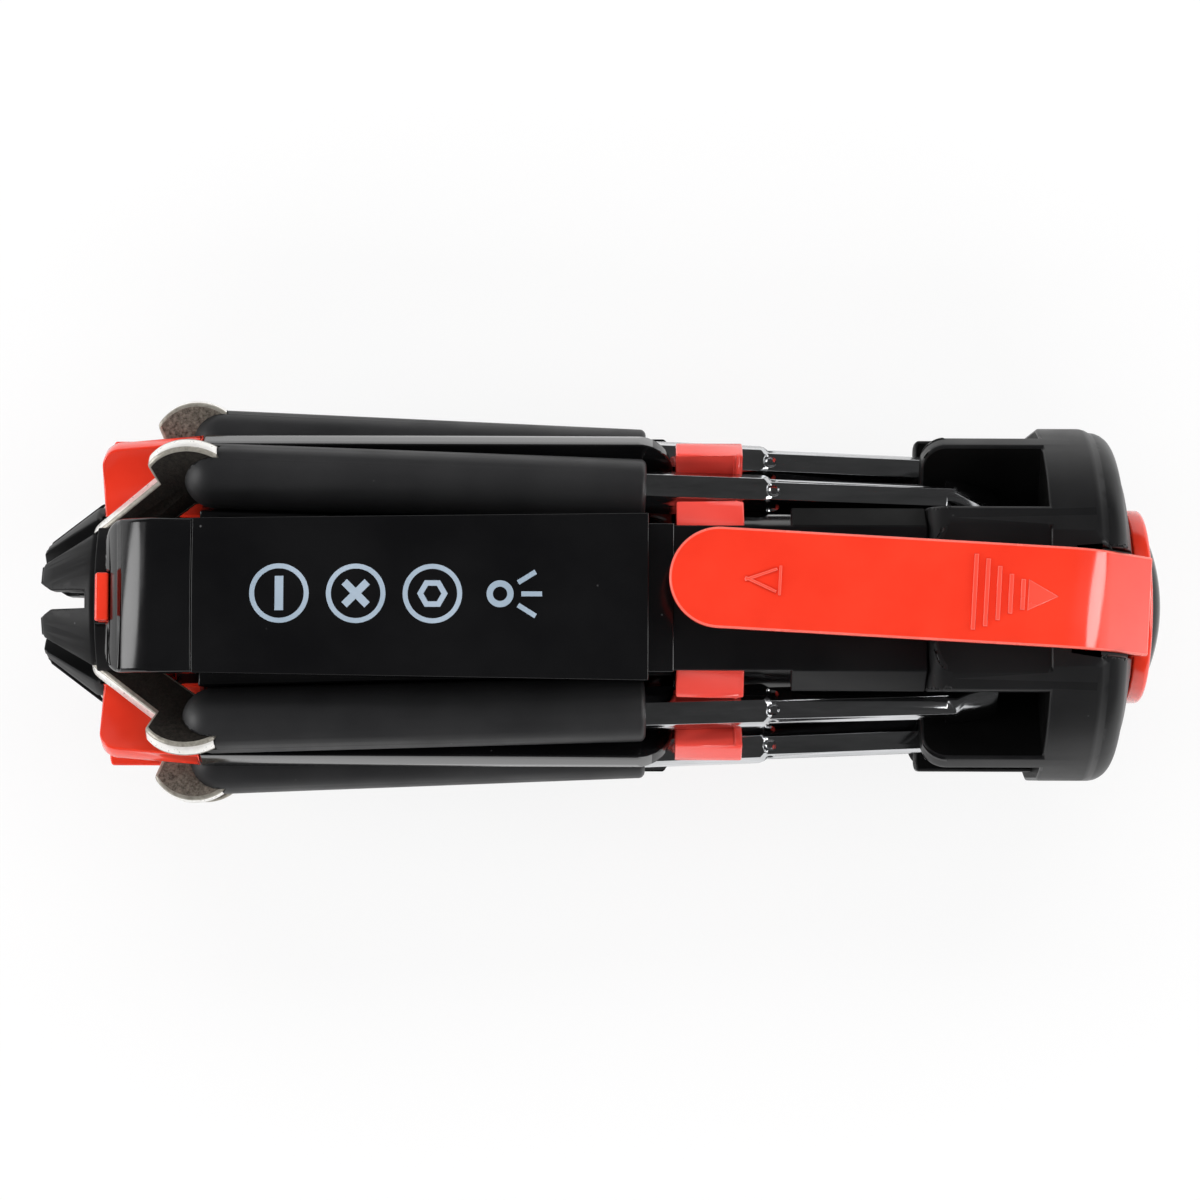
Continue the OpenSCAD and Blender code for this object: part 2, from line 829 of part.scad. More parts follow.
module lens_bezel() {
    color("#e8402f") lifted() difference() {
        union() {
            tube_x(bezel_x, bezel_rim_x + fit - bezel_x, sleeve_r);
            translate([bezel_rim_x, 0, 0]) turned()
                rounded_corner(sleeve_r + bezel_rim, bezel_end - bezel_rim_x, bezel_round);
        }
        tube_x(bezel_x - over, total_l, sleeve_in_r);
    }
}

// Bend, slope and leg of the clip in side view, at a radius of its bend and a place of its leg
function clip_line(r, leg_x) = concat(
    [for (t = [0 : clip_fall_a / 10 : clip_fall_a])
        [clip_bend_x + r * sin(t), clip_bend_z + r * cos(t)]],
    [[leg_x, clip_bend_z + r * cos(clip_fall_a)
        - (leg_x - clip_bend_x - r * sin(clip_fall_a)) * tan(clip_fall_a)], [leg_x, 0]]);

// Side view of the clip: straight over the head, then down to the bezel
module clip_side_view() {
    under = clip_line(clip_bend_r, clip_leg_x);
    top = clip_line(clip_bend_r + clip_t, clip_leg_x + clip_t);
    polygon(concat([[clip_start - clip_w, clip_under]], under,
        [for (i = [len(top) - 1 : -1 : 0]) top[i]], [[clip_start - clip_w, clip_top]]));
}

// Channel in the head that the end of the clip lies in
module clip_channel() {
    clip_turned() plate(clip_w + 2 * clip_side) polygon(concat(
        clip_line(clip_bend_r - clip_room, clip_leg_x - clip_room),
        [[total_l, 0], [total_l, rib_r + over], [clip_bend_x, rib_r + over]]));
}

module clip_turned() {
    translate([clip_pivot_x, 0, 0]) rotate(-clip_a) translate([-clip_pivot_x, 0, 0]) children();
}

// Outline of the clip seen from above, round at its free end
module clip_plan() {
    r = clip_w / 2;
    translate([clip_start + r, 0]) circle(r);
    translate([clip_start + r, -r]) square([total_l, clip_w]);
}

// Raised marks of the clip: an outlined triangle, five bars and an arrow head
module clip_marks() {
    slope_a = atan(triangle_half / triangle_l);
    translate([triangle_x + triangle_l - triangle_t, -triangle_half])
        square([triangle_t, 2 * triangle_half]);
    for (m = [0, 1]) mirror([0, m]) translate([triangle_x, 0]) rotate(slope_a)
        translate([0, -triangle_t]) square([triangle_l - triangle_t, triangle_t]);
    for (i = [0 : len(bar_half) - 1])
        translate([bar_x + i * bar_step, -bar_half[i]]) square([bar_t, 2 * bar_half[i]]);
}

module clip_arrow() {
    x = bar_x + len(bar_half) * bar_step - bar_t;
    polygon([[x, -arrow_half], [x + arrow_l, 0], [x, arrow_half]]);
}

module pocket_clip() {
    color("#f0452f") lifted() difference() {
        clip_turned() union() {
            intersection() {
                plate(clip_w) clip_side_view();
                linear_extrude(2 * rib_r) clip_plan();
            }
            translate([0, 0, clip_top - mark_h]) linear_extrude(2 * mark_h) clip_marks();
            translate([0, 0, clip_top - mark_h]) linear_extrude(mark_h + arrow_h) clip_arrow();
        }
        tube_x(handle_end, total_l, sleeve_r);
        tube_x(bezel_rim_x, total_l, sleeve_r + bezel_rim);
    }
}

module torch_barrel() {
    color("#2a2a2c") lifted() difference() {
        union() {
            tube_x(room_end - flange_t, flange_t, flange_r);
            tube_x(room_end - flange_t, barrel_end - room_end + flange_t, barrel_r);
        }
        tube_x(room_end - flange_t - over, total_l, barrel_in_r);
    }
}

module light_board() {
    color("#2f6b3c") lifted() tube_x(board_x, board_t, barrel_in_r);
}

module light_switch() {
    color("#d8d8d4") lifted() translate([board_end, -switch_w / 2, -switch_w / 2])
        cube([switch_h, switch_w, switch_w]);
}

// One light emitting diode, a short cylinder with a round top
module led() {
    tube_x(board_end, led_h - led_r, led_r);
    translate([board_end + led_h - led_r, 0, 0]) turned() intersection() {
        circle(led_r);
        square(led_r);
    }
}

module leds() {
    color("#e8eef4") lifted() for (i = [0 : led_n - 1])
        at_angle(i * 360 / led_n) translate([0, 0, led_ring_r]) led();
}

module led_holder() {
    color("#d9dade") lifted() difference() {
        tube_x(holder_x, holder_t, barrel_in_r);
        for (i = [0 : led_n - 1]) at_angle(i * 360 / led_n) translate([0, 0, led_ring_r])
            tube_x(holder_x - over, holder_t + 2 * over, led_r + fit);
        tube_x(holder_x - over, holder_t + 2 * over, stem_r + 2 * fit);
    }
}

module lens_spring() {
    color("#b9bbbe") lifted()
        tube_x(holder_end, wave_t, barrel_in_r - fit, barrel_in_r - fit - lens_skirt_t);
}

// Lens: a low dome with a skirt that slides in the barrel and a stem for the switch
module push_lens() {
    flange_l = lens_edge_x - lens_flange_x;
    rise = lens_end - lens_edge_x;
    dome_r = (rise * rise + lens_flange_r * lens_flange_r) / (2 * rise);
    skirt_r = barrel_in_r - 2 * fit;
    color("#18181c") lifted() difference() {
        union() {
            tube_x(lens_flange_x, flange_l, lens_flange_r);
            translate([lens_edge_x, 0, 0]) turned() intersection() {
                translate([0, rise - dome_r]) circle(dome_r, $fn = 180);
                translate([0, -flange_l / 2]) square([lens_flange_r, rise + flange_l]);
            }
            tube_x(skirt_x, lens_flange_x - skirt_x + fit, skirt_r);
        }
        tube_x(skirt_x - over, lens_flange_x - skirt_x + over, skirt_r - lens_skirt_t);
    }
    color("#18181c") lifted() tube_x(stem_x, lens_flange_x - stem_x + fit, stem_r);
}

module nose_contact() {
    color("#c9b26a") lifted() tube_x(room_x, plate_t, plate_r);
}

module head_contact() {
    color("#c9b26a") lifted() tube_x(cell_end, plate_t, plate_r);
}

module cell_place(i) {
    at_angle(cell_a[i]) translate([0, 0, cell_ring]) children();
}

module contact_springs() {
    x = room_x + plate_t;
    color("#b9bbbe") lifted() for (i = [0 : 2])
        cell_place(i) tube_x(x, cell_x - x, spring_r, spring_r - spring_wire);
}

module wires() {
    x = cell_end + plate_t;
    color("#b8302a") lifted() for (m = [0, 1]) mirror([0, m, 0])
        translate([0, wire_y, wire_z]) tube_x(x, board_x - x, wire_r);
}

module battery(i) {
    color("#5a6f86") lifted() cell_place(i) union() {
        tube_x(cell_x, cell_l - nub_l, cell_r);
        tube_x(cell_x, cell_l, nub_r);
    }
}

// Side view of a tang along its driver, with its pivot below the driver's axis
module tang_side() {
    top = hump_v + hump_r + over;
    difference() {
        union() {
            intersection() {
                union() {
                    polygon([leg_under, [knee_u, knee_v], [tail_u, -tail_low], [tail_u, tail_top],
                        [hump_u, tail_top], hump_p, notch_p, leg_foot]);
                    translate(hump_p) circle(hump_r);
                }
                polygon([leg_under, [knee_u, knee_v], [tail_u, -tail_low], [tail_u, top],
                    [leg_foot[0], top], leg_foot]);
            }
            translate(pivot_p) circle(boss_r);
        }
        polygon([notch_p, polar(notch_p, notch_l, notch_a), [leg_foot[0], top], leg_foot]);
        translate(pivot_p) circle(pin_r + fit);
    }
}

module tang(i) {
    color("#8f877b") lifted() folded(i) plate(tang_t) tang_side();
}

// Hexagonal bar, turned about its own axis
module hex_x(u, l, af, turn) {
    translate([u, 0, 0]) rotate([turn, 0, 0]) rotate([0, 90, 0])
        cylinder(r = af / 2 / cos(30), h = l, $fn = 6);
}

// The shafts at the sides are turned so that a flat of the hexagon faces out
function hex_turn(i) = abs(sin(driver_a[i])) > sin(60) ? 30 : 0;

// Grip with a round root and a flat end, over the tang and the shaft
module grip(i) {
    l = grip_end_u - grip_u;
    color("#29292b") lifted() folded(i) difference() {
        translate([grip_end_u, 0, 0]) rotate([0, -90, 0]) rotate_extrude() difference() {
            union() {
                square([grip_r, l - grip_r]);
                intersection() {
                    translate([0, l - grip_r]) circle(grip_r);
                    square([grip_r, l]);
                }
            }
            translate([grip_r, 0]) rotate(45) square(2 * grip_edge, center = true);
        }
        plate(tang_t) tang_side();
        hex_x(shaft_u, l, shaft_af, hex_turn(i));
    }
}

module slotted_tip(u) {
    intersection() {
        translate([u, 0, 0]) linear_extrude(2 * thin_af, center = true)
            polygon([[-over, -thin_af / 2], [0, -thin_af / 2], [blade_flare, -blade_w / 2],
                [blade_l, -blade_w / 2], [blade_l, blade_w / 2], [blade_flare, blade_w / 2],
                [0, thin_af / 2], [-over, thin_af / 2]]);
        translate([u, 0, 0]) plate(2 * blade_w)
            polygon([[-over, -thin_af / 2], [0, -thin_af / 2], [blade_l, -blade_t / 2],
                [blade_l, blade_t / 2], [0, thin_af / 2], [-over, thin_af / 2]]);
    }
}

module cross_tip(u) {
    difference() {
        translate([u, 0, 0]) rotate([0, 90, 0])
            cylinder(r1 = thin_af / 2, r2 = cross_r, h = cross_l);
        for (a = [45 : 90 : 315]) rotate([a, 0, 0])
            translate([u + thin_af / 4, cross_r / 2, cross_r / 2])
                cube([cross_l, flute_w, flute_w]);
    }
}

module shaft(i) {
    cross = tip_kinds[i] == "cross";
    end_l = cross ? cross_l : blade_l;
    cone_r = shaft_af / 2 / cos(30);
    color("#c4c6c9") lifted() folded(i) {
        difference() {
            union() {
                hex_x(shaft_u, tip_u - end_l - shaft_u + fit, thin_af, hex_turn(i));
                intersection() {
                    hex_x(shaft_u, crimp_u - shaft_u, shaft_af, hex_turn(i));
                    translate([shaft_u, 0, 0]) rotate([0, 90, 0]) union() {
                        cylinder(r = cone_r + over, h = crimp_u - shaft_u - 2 * crimp_cone);
                        translate([0, 0, crimp_u - shaft_u - 2 * crimp_cone])
                            cylinder(r1 = cone_r, r2 = thin_af / 2, h = 2 * crimp_cone);
                    }
                }
            }
            for (a = [30 : 60 : 330]) rotate([a + hex_turn(i), 0, 0]) translate([crimp_u, 0,
                thin_af / 2 + crimp_dent_share * crimp_dent_r]) sphere(crimp_dent_r);
        }
        if (cross) cross_tip(tip_u - end_l);
        else slotted_tip(tip_u - end_l);
    }
}

front_shell();
rear_shell();
front_panel();
front_end_cap();
rear_end_cap();
battery_door();
pivot_hub();
pivot_pins();
nose_cone();
nose_screw();
head_crown();
shell_screws();
head_screws();
torch_barrel();
light_board();
light_switch();
leds();
led_holder();
lens_spring();
push_lens();
nose_contact();
head_contact();
contact_springs();
wires();
battery(0);  // battery_1
battery(1);  // battery_2
battery(2);  // battery_3
slider_sleeve();
slider_ring();
lens_bezel();
pocket_clip();
for (i = [1 : 8]) {
    tang(i - 1);
    grip(i - 1);
    shaft(i - 1);
}
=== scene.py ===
import json
import math

import bmesh
import bpy
from mathutils import Matrix, Vector


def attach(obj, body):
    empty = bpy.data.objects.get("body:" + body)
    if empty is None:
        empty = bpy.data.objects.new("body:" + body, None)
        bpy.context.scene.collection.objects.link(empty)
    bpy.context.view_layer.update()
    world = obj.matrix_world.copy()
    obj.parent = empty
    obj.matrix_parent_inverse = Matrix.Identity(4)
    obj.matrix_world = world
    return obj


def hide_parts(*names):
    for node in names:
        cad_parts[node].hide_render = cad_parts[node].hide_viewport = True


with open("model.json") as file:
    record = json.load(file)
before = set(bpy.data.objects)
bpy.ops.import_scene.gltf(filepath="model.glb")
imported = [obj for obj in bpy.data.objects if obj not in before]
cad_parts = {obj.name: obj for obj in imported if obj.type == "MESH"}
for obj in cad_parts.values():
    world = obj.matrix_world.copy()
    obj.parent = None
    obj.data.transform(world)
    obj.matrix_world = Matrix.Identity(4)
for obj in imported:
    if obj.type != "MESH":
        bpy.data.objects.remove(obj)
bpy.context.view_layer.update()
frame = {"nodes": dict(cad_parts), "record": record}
MM = 0.001


def box_of(node):
    """Returns the low and the high corner of a CAD node in mm."""
    corners = [v.co / MM for v in frame["nodes"][node].data.vertices]
    return [Vector([pick(c[k] for c in corners) for k in range(3)]) for pick in (min, max)]


nose_low, nose_high = box_of("nose_cone")
AXIS_Z = (nose_low.z + nose_high.z) / 2


def from_axis(point):
    """Returns the part of a place in mm that lies across the axis of the tool."""
    return Vector((0, point.y, point.z - AXIS_Z))


# Finishes of moulded plastic and metal

MOTTLE = 90
SHINE = 160
COAT_ROUGH = 0.12
SPECK_CELLS = 420
SPECK_EDGE = (0.03, 0.07)
SPECK_FIELD = 260
SPECK_FIELD_EDGE = (0.58, 0.66)
SPECK_COLOUR = (0.3, 0.3, 0.3, 1)
GLOSS_FINER = 1.7
SURFACE_FINER = 2.3
FLOW = 120
FLOW_SHINE = 300
FLOW_WAVES = 260
FLOW_DEPTH_MM = 0.004
FLOW_PALE = 1.15
FLOW_ROUGHER = 0.04


def new_material(name):
    """Returns a material with one Principled shader, and its node tree."""
    m = bpy.data.materials.new(name)
    m.use_nodes = True
    tree = m.node_tree
    return m, tree, tree.nodes["Principled BSDF"]


def link(tree, a, b):
    tree.links.new(a, b)


def object_coords(tree, scale=(1, 1, 1)):
    coords = tree.nodes.new("ShaderNodeTexCoord")
    mapping = tree.nodes.new("ShaderNodeMapping")
    mapping.inputs["Scale"].default_value = scale
    link(tree, coords.outputs["Object"], mapping.inputs["Vector"])
    return mapping.outputs["Vector"]


def noise(tree, vector, scale, detail=3.0, rough=0.55):
    n = tree.nodes.new("ShaderNodeTexNoise")
    n.inputs["Scale"].default_value = scale
    n.inputs["Detail"].default_value = detail
    n.inputs["Roughness"].default_value = rough
    link(tree, vector, n.inputs["Vector"])
    return n.outputs["Fac"]


def ramp(tree, fac, stops):
    r = tree.nodes.new("ShaderNodeValToRGB")
    while len(r.color_ramp.elements) < len(stops):
        r.color_ramp.elements.new(0.5)
    for e, (at, c) in zip(r.color_ramp.elements, stops):
        e.position = at
        e.color = (*c, 1) if len(c) == 3 else c
    link(tree, fac, r.inputs["Fac"])
    return r.outputs["Color"]


def remap(tree, fac, low, high, start=0.3, end=0.7):
    m = tree.nodes.new("ShaderNodeMapRange")
    m.inputs["From Min"].default_value = start
    m.inputs["From Max"].default_value = end
    m.inputs["To Min"].default_value = low
    m.inputs["To Max"].default_value = high
    link(tree, fac, m.inputs["Value"])
    return m.outputs["Result"]


def math_node(tree, op, a, b):
    m = tree.nodes.new("ShaderNodeMath")
    m.operation = op
    for socket, v in zip(m.inputs, (a, b)):
        if isinstance(v, (int, float)):
            socket.default_value = v
        else:
            link(tree, v, socket)
    return m.outputs["Value"]


def bump(tree, height, depth_mm, shader):
    b = tree.nodes.new("ShaderNodeBump")
    b.inputs["Strength"].default_value = 1.0
    b.inputs["Distance"].default_value = depth_mm * MM
    link(tree, height, b.inputs["Height"])
    link(tree, b.outputs["Normal"], shader.inputs["Normal"])


def moulded(name, dark, pale, rough, grain, depth_mm, coat=0.0, specks=0.0, gloss=0.5):
    """Moulded plastic: mottled colour, uneven gloss, a fine grain and a few dust specks.

    dark and pale are the two ends of the mottling and rough those of the roughness. grain is the
    fineness of the surface and depth_mm its depth. specks is the strength of the dust, and gloss
    the level of the reflections.
    """
    m, tree, shader = new_material(name)
    v = object_coords(tree)
    colour = ramp(tree, noise(tree, v, MOTTLE), [(0.35, dark), (0.65, pale)])
    shine = remap(tree, noise(tree, v, SHINE, 4), *rough)
    if specks:
        cells = tree.nodes.new("ShaderNodeTexVoronoi")
        cells.inputs["Scale"].default_value = SPECK_CELLS
        link(tree, v, cells.inputs["Vector"])
        spot = remap(tree, cells.outputs["Distance"], 1, 0, *SPECK_EDGE)
        rare = remap(tree, noise(tree, v, SPECK_FIELD, 1), 0, specks, *SPECK_FIELD_EDGE)
        mask = math_node(tree, "MULTIPLY", spot, rare)
        mix = tree.nodes.new("ShaderNodeMix")
        mix.data_type = "RGBA"
        link(tree, mask, mix.inputs["Factor"])
        link(tree, colour, mix.inputs["A"])
        mix.inputs["B"].default_value = SPECK_COLOUR
        colour = mix.outputs["Result"]
    link(tree, colour, shader.inputs["Base Color"])
    link(tree, shine, shader.inputs["Roughness"])
    shader.inputs["Specular IOR Level"].default_value = gloss
    shader.inputs["Coat Weight"].default_value = coat
    shader.inputs["Coat Roughness"].default_value = COAT_ROUGH
    bump(tree, noise(tree, v, grain, 3), depth_mm, shader)
    return m


def metal(name, dark, pale, rough, patch, depth_mm, stretch=(1, 1, 1), metallic=1.0):
    """Bare or plated metal: patches of tone, uneven gloss and a fine surface.

    patch is the fineness of the patches. The gloss and the surface are finer by GLOSS_FINER and
    SURFACE_FINER.
    """
    m, tree, shader = new_material(name)
    v = object_coords(tree, stretch)
    colour = ramp(tree, noise(tree, v, patch, 5, 0.65), [(0.32, dark), (0.7, pale)])
    link(tree, colour, shader.inputs["Base Color"])
    shine = remap(tree, noise(tree, v, patch * GLOSS_FINER, 4), *rough)
    link(tree, shine, shader.inputs["Roughness"])
    shader.inputs["Metallic"].default_value = metallic
    bump(tree, noise(tree, v, patch * SURFACE_FINER, 4, 0.7), depth_mm, shader)
    return m


black = moulded("black_plastic", (0.0035, 0.0035, 0.004), (0.006, 0.006, 0.0065), rough=(0.12, 0.2),
                grain=1500, depth_mm=0.002, specks=0.25)
polished = moulded("polished_black", (0.006, 0.006, 0.0065), (0.010, 0.010, 0.0105), rough=(0.1, 0.16),
                   grain=1500, depth_mm=0.002, coat=1.0, gloss=1.0)
matte = moulded("matte_black", (0.003, 0.003, 0.0035), (0.006, 0.006, 0.0065), rough=(0.36, 0.46),
                grain=1700, depth_mm=0.004, gloss=0.25)
satin = moulded("satin_black", (0.007, 0.007, 0.0075), (0.012, 0.012, 0.0125), rough=(0.34, 0.44),
                grain=1700, depth_mm=0.004, specks=0.2, gloss=0.35)
# Painted shade: a darker, duller copy of the black plastic, laid on the recessed back walls of the
# shell strips and on the pockets of the head, where shade falls
shade_black = moulded("painted_shade_black", (0.002, 0.002, 0.002), (0.0035, 0.0035, 0.0035), rough=(0.5, 0.6),
               grain=1700, depth_mm=0.004, gloss=0.1)
nose_black = moulded("nose_black", (0.006, 0.006, 0.0065), (0.010, 0.010, 0.0105), rough=(0.36, 0.46),
                     grain=1700, depth_mm=0.004, specks=0.2, gloss=0.2)
# Painted light: a paler, pinker copy of the red plastic for the slider ring, which lightens its
# brackets where they lie in shade
painted_light_ring_red = moulded("painted_light_ring_red", (0.93, 0.075, 0.055), (0.97, 0.090, 0.068), rough=(0.14, 0.22),
                   grain=1200, depth_mm=0.002, coat=0.5)
red = moulded("red_plastic", (0.88, 0.040, 0.016), (0.95, 0.052, 0.022), rough=(0.14, 0.22),
              grain=1200, depth_mm=0.002, coat=0.5)
rubber = moulded("soft_grip", (0.013, 0.013, 0.014), (0.020, 0.020, 0.021), rough=(0.42, 0.56),
                 grain=2600, depth_mm=0.010, specks=0.15)
# Painted highlight: a lighter red for the rounded edges of the pocket clip and of its raised marks
raised = moulded("clip_edge_painted_highlight", (0.93, 0.14, 0.10), (0.96, 0.17, 0.13), rough=(0.2, 0.3),
                 grain=1200, depth_mm=0.002)
# Painted highlight: a slightly lighter red for the tops of the raised marks on the clip
mark_top_highlight = moulded("mark_top_painted_highlight", (0.92, 0.075, 0.045), (0.96, 0.09, 0.058), rough=(0.2, 0.3),
                grain=1200, depth_mm=0.002)
cast = metal("cast_steel", (0.05, 0.042, 0.033), (0.34, 0.30, 0.25), rough=(0.4, 0.6),
             patch=2600, depth_mm=0.05, metallic=0.45)
# Painted shade: a near-black copy of the tang steel for the faces of the front and back tangs, which
# lie in shade
shaded_steel = metal("painted_shade_steel", (0.008, 0.007, 0.006), (0.035, 0.03, 0.025), rough=(0.5, 0.65),
             patch=2600, depth_mm=0.05, metallic=0.3)
ground = metal("ground_edge", (0.30, 0.28, 0.24), (0.52, 0.49, 0.43), rough=(0.3, 0.45),
               patch=1800, depth_mm=0.01, metallic=0.5)
# The ground steel rims of the tangs, made near white: partly their bright ground edge and partly a
# painted highlight
rim = metal("ground_rim_and_painted_highlight", (0.86, 0.84, 0.80), (0.97, 0.96, 0.94), rough=(0.25, 0.4),
            patch=1400, depth_mm=0.006, metallic=0.35)
plated = metal("plated_shaft", (0.50, 0.51, 0.52), (0.72, 0.73, 0.75), rough=(0.10, 0.22),
               patch=500, depth_mm=0.004, stretch=(0.2, 1, 1))
bright = metal("bright_steel", (0.55, 0.55, 0.57), (0.80, 0.80, 0.82), rough=(0.18, 0.3),
               patch=800, depth_mm=0.004)
brass = metal("contact_brass", (0.60, 0.42, 0.16), (0.80, 0.60, 0.26), rough=(0.2, 0.34),
              patch=700, depth_mm=0.004)
white = moulded("white_plastic", (0.66, 0.66, 0.64), (0.74, 0.74, 0.72), rough=(0.3, 0.42),
                grain=1400, depth_mm=0.004)
green = moulded("board_green", (0.02, 0.11, 0.035), (0.035, 0.16, 0.055), rough=(0.3, 0.4),
                grain=900, depth_mm=0.006)
wire = moulded("wire_cover", (0.40, 0.02, 0.015), (0.50, 0.03, 0.02), rough=(0.34, 0.44),
               grain=1600, depth_mm=0.004)
jacket = moulded("cell_jacket", (0.07, 0.12, 0.20), (0.10, 0.16, 0.25), rough=(0.24, 0.34),
                 grain=900, depth_mm=0.003)
ink = moulded("pale_print", (0.29, 0.37, 0.45), (0.38, 0.46, 0.55), rough=(0.4, 0.5),
              grain=2200, depth_mm=0.004)


def clear(name, tint, rough, transmission, gloss=0.5):
    """Clear moulded plastic with faint flow marks."""
    m, tree, shader = new_material(name)
    v = object_coords(tree)
    pale = [min(1, c * FLOW_PALE) for c in tint]
    link(tree, ramp(tree, noise(tree, v, FLOW), [(0.3, tint), (0.7, pale)]),
         shader.inputs["Base Color"])
    link(tree, remap(tree, noise(tree, v, FLOW_SHINE), rough, rough + FLOW_ROUGHER),
         shader.inputs["Roughness"])
    shader.inputs["Transmission Weight"].default_value = transmission
    shader.inputs["Specular IOR Level"].default_value = gloss
    bump(tree, noise(tree, v, FLOW_WAVES, 2), FLOW_DEPTH_MM, shader)
    return m


smoked = clear("smoked_plastic", (0.005, 0.0045, 0.0045), rough=0.06, transmission=0.01, gloss=0.01)
clear_led = clear("clear_plastic", (0.82, 0.86, 0.9), rough=0.03, transmission=0.75)

finish_of = {"black_plastic": black, "red_plastic": red, "soft_grip": rubber, "cast_steel": cast,
             "plated_shaft": plated, "bright_steel": bright, "smoked_plastic": smoked,
             "board_green": green, "white_plastic": white, "clear_plastic": clear_led,
             "contact_brass": brass, "wire_cover": wire, "cell_jacket": jacket}
slot_of = {s["node"]: s["material_slot"] for s in frame["record"]["subparts"]}
body_of = {n: b for b, nodes in frame["record"]["behaviour"]["bodies"].items() for n in nodes}

for name, node in frame["nodes"].items():
    node.data.materials.clear()
    node.data.materials.append(finish_of[slot_of[name]])

# Pieces with rounded edges, which stand for the CAD nodes that show

MERGE_M = 1e-6
FLAT_A = math.radians(0.5)
BEND_A = math.radians(30)
FLAT_NODES = ("head_crown", "front_panel", "battery_door")


def rounded(node, width_mm, segments=2, finishes=(), share_of=None, finish_at=None):
    """Copies a CAD node's mesh, rounds its outer edges and lets it stand for the node.

    Finish 0 is the node's own and finishes adds 1 and up. The rounded edges get finish 1, if it
    isn't the node's own. share_of takes the two ends of an edge in mm and gives the share of the
    width that it gets. finish_at takes the middle of a face in mm and its normal and gives the
    number of its finish. Edges that bend by less than BEND_A stay as they are.
    """
    bm = bmesh.new()
    bm.from_mesh(frame["nodes"][node].data)
    bmesh.ops.remove_doubles(bm, verts=bm.verts, dist=MERGE_M)
    bmesh.ops.dissolve_limit(bm, angle_limit=FLAT_A, verts=bm.verts, edges=bm.edges)
    weight = bm.edges.layers.float.new("bevel_weight_edge")
    for e in bm.edges:
        if len(e.link_faces) == 2 and e.calc_face_angle(0) > BEND_A:
            ends = [v.co / MM for v in e.verts]
            e[weight] = 0.0 if not e.is_convex else (share_of(*ends) if share_of else 1.0)
            e.smooth = e[weight] > 0
    if finish_at:
        for f in bm.faces:
            f.material_index = finish_at(f.calc_center_median() / MM, f.normal)
    mesh = bpy.data.meshes.new(f"{node}_look")
    bm.to_mesh(mesh)
    bm.free()
    for p in mesh.polygons:
        p.use_smooth = True
    piece = bpy.data.objects.new(f"{node}_look", mesh)
    bpy.context.scene.collection.objects.link(piece)
    mesh.materials.append(finish_of[slot_of[node]])
    mod = piece.modifiers.new("Round", "BEVEL")
    mod.width = width_mm * MM
    mod.segments = segments
    mod.limit_method = "WEIGHT"
    mod.use_clamp_overlap = False
    mod.harden_normals = True
    for extra in finishes:
        mesh.materials.append(extra)
    if finishes and finishes[0] is not finish_of[slot_of[node]]:
        mod.material = 1
    if node in FLAT_NODES:
        even = piece.modifiers.new("Even", "WEIGHTED_NORMAL")
        even.keep_sharp = True
    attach(piece, body_of[node])
    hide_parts(node)
    return piece


# Least parts of a normal along a direction for a face to count as facing it
UP = 0.9
OUTWARD = 0.3
ASIDE = 0.1
IN_PLANE = 0.5

# Shares of the rounding
MARK_SHARE = 0.2
CLIP_SHARE = 0.6
CAP_SHARE = 0.2
HEAD_SHARE = 0.1

# Numbers of the finishes of each piece, in the order in which its call lists them
SHELL_STRIP, SHELL_RIB, SHELL_SHADED_BACK_WALL = 2, 3, 4
CLIP_MARK_HIGHLIGHT = 2
HEAD_OUTSIDE, HEAD_SHADED_POCKET, HEAD_WALL = 1, 2, 3
TANG_RIM_AND_HIGHLIGHT, TANG_SHADED = 2, 3

# Places in mm where roundings and finishes change
EDGE_TOL = 0.05
MARK_H = 0.25
CLIP_TOP = box_of("pocket_clip")[1].z - MARK_H
SEAM_X = box_of("front_end_cap")[1].x
STRIP_X = 8.5
RIB_FACE_R = 19.5
HEAD_END = box_of("head_crown")[1].x
HEAD_INNER_X = HEAD_END - 11.35
HEAD_FACE_R = 17.0
HEAD_WALL_Y = 10.5
HEAD_RIM_X = HEAD_END - 1.45
HEAD_RIM_R = 17.0

# Drivers, by their angles from the front round the axis
FIRST_A, STEP_A = 46.5, 29.0
SIDE_A = [FIRST_A + STEP_A * k for k in range(4)]
DRIVER_A = SIDE_A + [-a for a in reversed(SIDE_A)]
FRONT_AND_BACK = (1, 4, 5, 8)


def clip_share(a, b):
    """Gives the tops of the raised marks a small rounding and their upright edges none."""
    if max(a.z, b.z) > CLIP_TOP + EDGE_TOL:
        return MARK_SHARE if min(a.z, b.z) > CLIP_TOP + EDGE_TOL else 0.0
    return CLIP_SHARE


def strip_finish(middle, normal):
    """Tells the matte strip, its back wall, which is painted darker as shade, and the polished ribs of
    a handle shell.
    """
    if middle.x > STRIP_X:
        return SHELL_SHADED_BACK_WALL if normal.y > ASIDE else SHELL_STRIP
    out = from_axis(middle)
    is_rib = out.length > RIB_FACE_R and normal.dot(out.normalized()) > UP
    return SHELL_RIB if is_rib else 0


def clip_finish(middle, normal):
    """Tells the tops of the raised marks, which get a slightly lighter red as a painted highlight."""
    return CLIP_MARK_HIGHLIGHT if middle.z > CLIP_TOP + EDGE_TOL and normal.z > UP else 0


def head_finish(middle, normal):
    """Tells the outer faces of the head, its flat walls by the clip and the walls of its pockets,
    which get painted shade.
    """
    out = from_axis(middle)
    outer = middle.x > HEAD_INNER_X or out.length > HEAD_FACE_R
    if not outer or (normal.x <= ASIDE and normal.dot(out.normalized()) <= OUTWARD):
        return HEAD_SHADED_POCKET
    return HEAD_WALL if middle.x <= HEAD_INNER_X and abs(out.y) < HEAD_WALL_Y else HEAD_OUTSIDE


